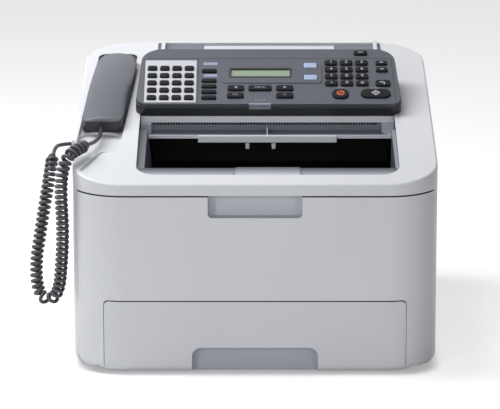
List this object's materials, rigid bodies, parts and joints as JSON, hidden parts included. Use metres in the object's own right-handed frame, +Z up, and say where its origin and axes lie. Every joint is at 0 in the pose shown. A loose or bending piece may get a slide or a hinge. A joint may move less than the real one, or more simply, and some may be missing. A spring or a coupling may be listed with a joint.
{
  "type": "fax machine",
  "caption": "Desktop laser fax machine with a sloping control panel, side handset on a curly cord, front paper drawer, output bay and document feeder.",
  "frame": {"origin": "centre of the footprint, at the underside of the feet", "axes": "+X to the right seen from the front, +Y to the rear, +Z up"},
  "size_m": [0.409, 0.39, 0.2819],
  "materials": {
    "housing": "fine texture",
    "tray_face": "fine texture",
    "tray_box": "satin",
    "frame_dark": "matt",
    "foot_rubber": "matt",
    "bay_black": "matt",
    "unit_dark": "satin",
    "board": "satin",
    "socket_black": "satin",
    "scanner_grey": "matt",
    "sensor_glass": "gloss",
    "tray_light": "matt",
    "steel": "brushed",
    "roller_rubber": "matt",
    "handset": "fine texture",
    "hook": "satin",
    "panel_dark": "matt",
    "panel_grey": "fine texture",
    "plate_white": "satin",
    "lcd": "satin",
    "lens": "gloss",
    "cord": "satin",
    "plug": "gloss",
    "key_dark": "matt",
    "key_blue": "satin"
  },
  "bodies": {
    "chassis": {"base_frame": "frame_dark", "left_side_cover": "housing", "right_side_cover": "housing", "top_cover": "housing", "rear_cover": "housing", "rubber_feet": "foot_rubber", "output_tray": "bay_black", "laser_unit": "unit_dark", "fuser_unit": "unit_dark", "toner_cartridge": "unit_dark", "circuit_boards": "board", "ac_inlet": "socket_black", "line_jacks": "socket_black", "handset_jack": "socket_black", "scanner_frame": "scanner_grey", "image_sensor": "sensor_glass", "document_tray": "tray_light", "handset_cord": "cord", "cord_plug": "plug"},
    "front_cover": {"front_cover": "housing"},
    "rear_door": {"rear_door": "housing"},
    "tray": {"paper_tray": "tray_box", "tray_front": "tray_face"},
    "lift_plate": {"lift_plate": "steel"},
    "output_stopper": {"output_stopper": "housing"},
    "document_support": {"document_support": "tray_light"},
    "guide_left": {"document_guide_left": "tray_light"},
    "guide_right": {"document_guide_right": "tray_light"},
    "power_switch": {"power_switch": "socket_black"},
    "pickup_roller": {"pickup_roller": "roller_rubber"},
    "exit_roller": {"exit_roller": "roller_rubber"},
    "feed_roller": {"feed_roller": "roller_rubber"},
    "panel": {"panel_body": "panel_dark", "panel_fascia": "panel_grey", "one_touch_plate": "plate_white", "lcd_window": "lcd", "status_lens": "lens"},
    "handset": {"handset_shell": "handset", "handset_base": "handset"},
    "hook_switch": {"hook_switch": "hook"},
    "key_1": {"key_1": "key_dark"},
    "key_2": {"key_2": "key_dark"},
    "key_3": {"key_3": "key_dark"},
    "key_4": {"key_4": "key_dark"},
    "key_5": {"key_5": "key_dark"},
    "key_6": {"key_6": "key_dark"},
    "key_7": {"key_7": "key_dark"},
    "key_8": {"key_8": "key_dark"},
    "key_9": {"key_9": "key_dark"},
    "key_star": {"key_star": "key_dark"},
    "key_0": {"key_0": "key_dark"},
    "key_hash": {"key_hash": "key_dark"},
    "stop_key": {"stop_key": "key_dark"},
    "start_key": {"start_key": "key_dark"},
    "function_keys": {"function_keys": "key_dark"},
    "navigation_keys": {"navigation_keys": "key_dark"},
    "menu_keys": {"menu_keys": "key_blue"},
    "line_keys": {"line_keys": "key_dark"},
    "toner_key": {"toner_key": "key_dark"},
    "one_touch_keys": {"one_touch_keys": "key_dark"}
  },
  "joints": [
    {"name": "front_cover_hinge", "type": "hinge", "parent": "chassis", "child": "front_cover", "pos_m": [0, -0.179, 0.02], "axis": [-1, 0, 0], "range_deg": [-75, 0]},
    {"name": "rear_door_hinge", "type": "hinge", "parent": "chassis", "child": "rear_door", "pos_m": [0.021, 0.19, 0.079], "axis": [-1, 0, 0], "range_deg": [0, 70]},
    {"name": "tray_slide", "type": "slide", "parent": "chassis", "child": "tray", "axis": [0, -1, 0], "range_m": [0, 0.25]},
    {"name": "lift_plate_hinge", "type": "hinge", "parent": "tray", "child": "lift_plate", "pos_m": [0, -0.0025, 0.0142], "axis": [-1, 0, 0], "range_deg": [0, 9]},
    {"name": "output_stopper_hinge", "type": "hinge", "parent": "chassis", "child": "output_stopper", "pos_m": [0.01275, -0.16997, 0.19826], "axis": [1, 0, 0], "range_deg": [0, 100]},
    {"name": "document_support_hinge", "type": "hinge", "parent": "chassis", "child": "document_support", "pos_m": [0.016, 0.18351, 0.2608], "axis": [-1, 0, 0], "range_deg": [0, 120]},
    {"name": "guide_left_slide", "type": "slide", "parent": "chassis", "child": "guide_left", "axis": [1, 0, 0], "range_m": [0, 0.034]},
    {"name": "guide_right_slide", "type": "slide", "parent": "chassis", "child": "guide_right", "axis": [1, 0, 0], "range_m": [-0.034, 0]},
    {"name": "power_switch_rock", "type": "hinge", "parent": "chassis", "child": "power_switch", "pos_m": [0.046, 0.188, 0.036], "axis": [1, 0, 0], "range_deg": [0, 14]},
    {"name": "pickup_roller_spin", "type": "hinge", "parent": "chassis", "child": "pickup_roller", "pos_m": [0, -0.133, 0.07], "axis": [1, 0, 0], "continuous": true},
    {"name": "exit_roller_spin", "type": "hinge", "parent": "chassis", "child": "exit_roller", "pos_m": [0, 0.052, 0.204], "axis": [1, 0, 0], "continuous": true},
    {"name": "feed_roller_spin", "type": "hinge", "parent": "chassis", "child": "feed_roller", "pos_m": [0, 0.026, 0.22843], "axis": [1, 0, 0], "continuous": true},
    {"name": "panel_hinge", "type": "hinge", "parent": "chassis", "child": "panel", "pos_m": [0, 0.06027, 0.25625], "axis": [-1, 0, 0], "range_deg": [0, 30]},
    {"name": "handset_lift", "type": "slide", "parent": "chassis", "child": "handset", "axis": [0, 0, 1], "range_m": [0, 0.08]},
    {"name": "hook_switch_slide", "type": "slide", "parent": "chassis", "child": "hook_switch", "axis": [-0.0099, -0.1776, 0.9841], "range_m": [0, 0.004]},
    {"name": "key_1_press", "type": "slide", "parent": "panel", "child": "key_1", "axis": [0, 0.3987, -0.9171], "range_m": [0, 0.0015], "stiffness_N_per_m": 200},
    {"name": "key_2_press", "type": "slide", "parent": "panel", "child": "key_2", "axis": [0, 0.3987, -0.9171], "range_m": [0, 0.0015], "stiffness_N_per_m": 200},
    {"name": "key_3_press", "type": "slide", "parent": "panel", "child": "key_3", "axis": [0, 0.3987, -0.9171], "range_m": [0, 0.0015], "stiffness_N_per_m": 200},
    {"name": "key_4_press", "type": "slide", "parent": "panel", "child": "key_4", "axis": [0, 0.3987, -0.9171], "range_m": [0, 0.0015], "stiffness_N_per_m": 200},
    {"name": "key_5_press", "type": "slide", "parent": "panel", "child": "key_5", "axis": [0, 0.3987, -0.9171], "range_m": [0, 0.0015], "stiffness_N_per_m": 200},
    {"name": "key_6_press", "type": "slide", "parent": "panel", "child": "key_6", "axis": [0, 0.3987, -0.9171], "range_m": [0, 0.0015], "stiffness_N_per_m": 200},
    {"name": "key_7_press", "type": "slide", "parent": "panel", "child": "key_7", "axis": [0, 0.3987, -0.9171], "range_m": [0, 0.0015], "stiffness_N_per_m": 200},
    {"name": "key_8_press", "type": "slide", "parent": "panel", "child": "key_8", "axis": [0, 0.3987, -0.9171], "range_m": [0, 0.0015], "stiffness_N_per_m": 200},
    {"name": "key_9_press", "type": "slide", "parent": "panel", "child": "key_9", "axis": [0, 0.3987, -0.9171], "range_m": [0, 0.0015], "stiffness_N_per_m": 200},
    {"name": "key_star_press", "type": "slide", "parent": "panel", "child": "key_star", "axis": [0, 0.3987, -0.9171], "range_m": [0, 0.0015], "stiffness_N_per_m": 200},
    {"name": "key_0_press", "type": "slide", "parent": "panel", "child": "key_0", "axis": [0, 0.3987, -0.9171], "range_m": [0, 0.0015], "stiffness_N_per_m": 200},
    {"name": "key_hash_press", "type": "slide", "parent": "panel", "child": "key_hash", "axis": [0, 0.3987, -0.9171], "range_m": [0, 0.0015], "stiffness_N_per_m": 200},
    {"name": "stop_key_press", "type": "slide", "parent": "panel", "child": "stop_key", "axis": [0, 0.3987, -0.9171], "range_m": [0, 0.0015], "stiffness_N_per_m": 200},
    {"name": "start_key_press", "type": "slide", "parent": "panel", "child": "start_key", "axis": [0, 0.3987, -0.9171], "range_m": [0, 0.0015], "stiffness_N_per_m": 200},
    {"name": "function_keys_press", "type": "slide", "parent": "panel", "child": "function_keys", "axis": [0, 0.3987, -0.9171], "range_m": [0, 0.0015], "stiffness_N_per_m": 200},
    {"name": "navigation_keys_press", "type": "slide", "parent": "panel", "child": "navigation_keys", "axis": [0, 0.3987, -0.9171], "range_m": [0, 0.0015], "stiffness_N_per_m": 200},
    {"name": "menu_keys_press", "type": "slide", "parent": "panel", "child": "menu_keys", "axis": [0, 0.3987, -0.9171], "range_m": [0, 0.0015], "stiffness_N_per_m": 200},
    {"name": "line_keys_press", "type": "slide", "parent": "panel", "child": "line_keys", "axis": [0, 0.3987, -0.9171], "range_m": [0, 0.0015], "stiffness_N_per_m": 200},
    {"name": "toner_key_press", "type": "slide", "parent": "panel", "child": "toner_key", "axis": [0, 0.3987, -0.9171], "range_m": [0, 0.0015], "stiffness_N_per_m": 200},
    {"name": "one_touch_keys_press", "type": "slide", "parent": "panel", "child": "one_touch_keys", "axis": [0, 0.3987, -0.9171], "range_m": [0, 0.0015], "stiffness_N_per_m": 200}
  ],
  "couplings": [
    {"joint": "guide_right_slide", "follows": "guide_left_slide", "ratio": -1},
    {"joint": "hook_switch_slide", "follows": "handset_lift", "ratio": 0.05}
  ]
}
